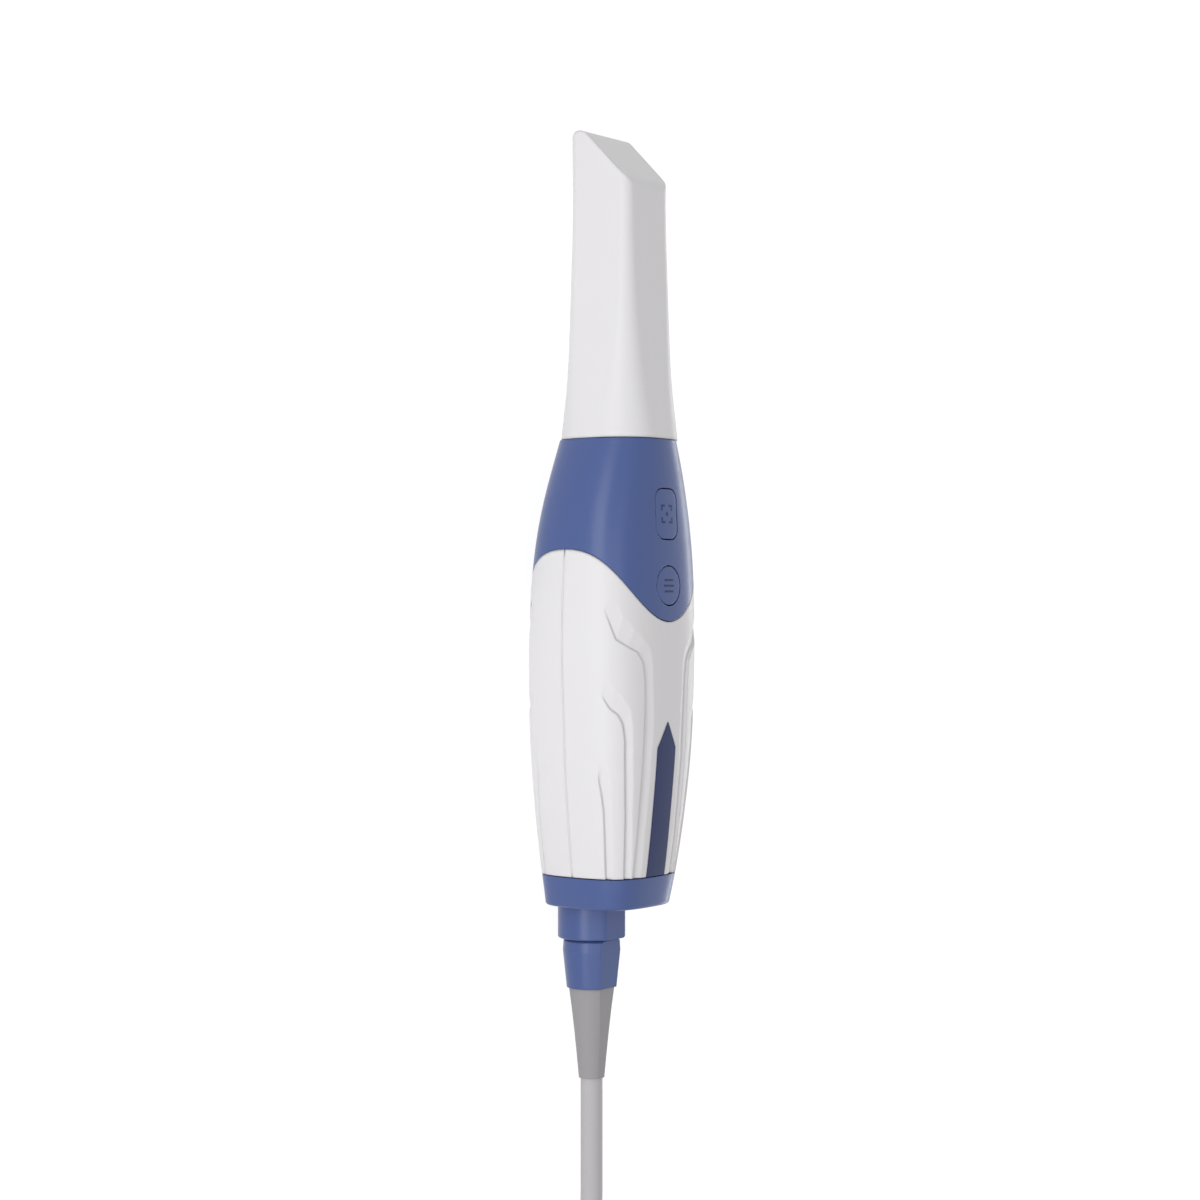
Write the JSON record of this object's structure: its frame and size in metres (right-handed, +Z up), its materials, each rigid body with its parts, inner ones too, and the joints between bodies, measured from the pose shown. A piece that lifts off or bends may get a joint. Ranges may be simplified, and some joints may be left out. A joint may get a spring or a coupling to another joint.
{
  "type": "intraoral scanner",
  "caption": "Hand-held dental scanner with a pull-off mirror tip, grooved handle, press buttons and a plug-in cable tied in a hank.",
  "frame": {"origin": "under the middle of the scanner's length, on the surface it lies on, in its symmetry plane", "axes": "+X towards the tip, +Y to the scanner's left side, +Z up through the buttons"},
  "size_m": [0.4609, 0.0444, 0.0381],
  "materials": {
    "white_shell": "smooth satin white moulding",
    "blue_shell": "satin blue moulding",
    "navy_inlay": "satin navy inlay",
    "optical_glass": "coated optical glass",
    "mirror_glass": "front-surface mirror",
    "dark_moulding": "matt black moulding",
    "seal_rubber": "black elastomer",
    "chassis_metal": "bead-blasted aluminium",
    "screw_steel": "plain steel",
    "board_laminate": "green solder mask",
    "chip_package": "black epoxy package",
    "connector_plastic": "ivory connector body",
    "ribbon_film": "amber polyimide film",
    "contact_gold": "gold-plated contact",
    "plated_steel": "nickel-plated sheet",
    "relief_rubber": "grey flexible moulding",
    "cable_jacket": "grey cable jacket",
    "tie_fabric": "black hook-and-loop strap"
  },
  "bodies": {
    "handle": {"front_housing": "blue_shell", "upper_shell": "white_shell", "lower_shell": "white_shell", "grip_strip": "navy_inlay", "end_cap": "blue_shell", "nose_tube": "dark_moulding", "nose_glass": "optical_glass", "tip_seal": "seal_rubber", "scan_switch": "dark_moulding", "mode_switch": "dark_moulding", "button_board": "board_laminate", "button_board_screws": "screw_steel", "chassis": "chassis_metal", "chassis_screws": "screw_steel", "projector": "dark_moulding", "projector_lens": "optical_glass", "left_camera": "dark_moulding", "right_camera": "dark_moulding", "left_camera_lens": "optical_glass", "right_camera_lens": "optical_glass", "main_board": "board_laminate", "main_board_screws": "screw_steel", "processor": "chip_package", "memory_chips": "chip_package", "board_connectors": "connector_plastic", "heat_spreader": "chassis_metal", "haptic_motor": "plated_steel", "button_ribbon": "ribbon_film", "socket_ribbon": "ribbon_film", "socket_body": "plated_steel", "socket_ring": "blue_shell", "socket_insert": "dark_moulding", "socket_pins": "contact_gold"},
    "tip": {"tip_sleeve": "white_shell", "tip_mirror": "mirror_glass"},
    "scan_button": {"scan_button": "blue_shell", "scan_plunger": "connector_plastic"},
    "mode_button": {"mode_button": "blue_shell", "mode_plunger": "connector_plastic"},
    "cable": {"plug_shell": "blue_shell", "plug_insert": "dark_moulding", "strain_relief": "relief_rubber", "cable_lead": "cable_jacket", "cable_hank": "cable_jacket", "cable_tail": "cable_jacket", "hank_tie": "tie_fabric", "host_plug_grip": "relief_rubber", "host_plug_shell": "plated_steel", "host_plug_tongue": "dark_moulding"}
  },
  "joints": [
    {"name": "tip_slide", "type": "slide", "parent": "handle", "child": "tip", "axis": [1, 0, 0], "range_m": [0, 0.046]},
    {"name": "scan_press", "type": "slide", "parent": "handle", "child": "scan_button", "axis": [0, 0, -1], "range_m": [0, 0.0006], "stiffness_N_per_m": 600},
    {"name": "mode_press", "type": "slide", "parent": "handle", "child": "mode_button", "axis": [0, 0, -1], "range_m": [0, 0.0006], "stiffness_N_per_m": 600},
    {"name": "plug_pull", "type": "slide", "parent": "handle", "child": "cable", "axis": [-1, 0, 0], "range_m": [0, 0.012]}
  ]
}
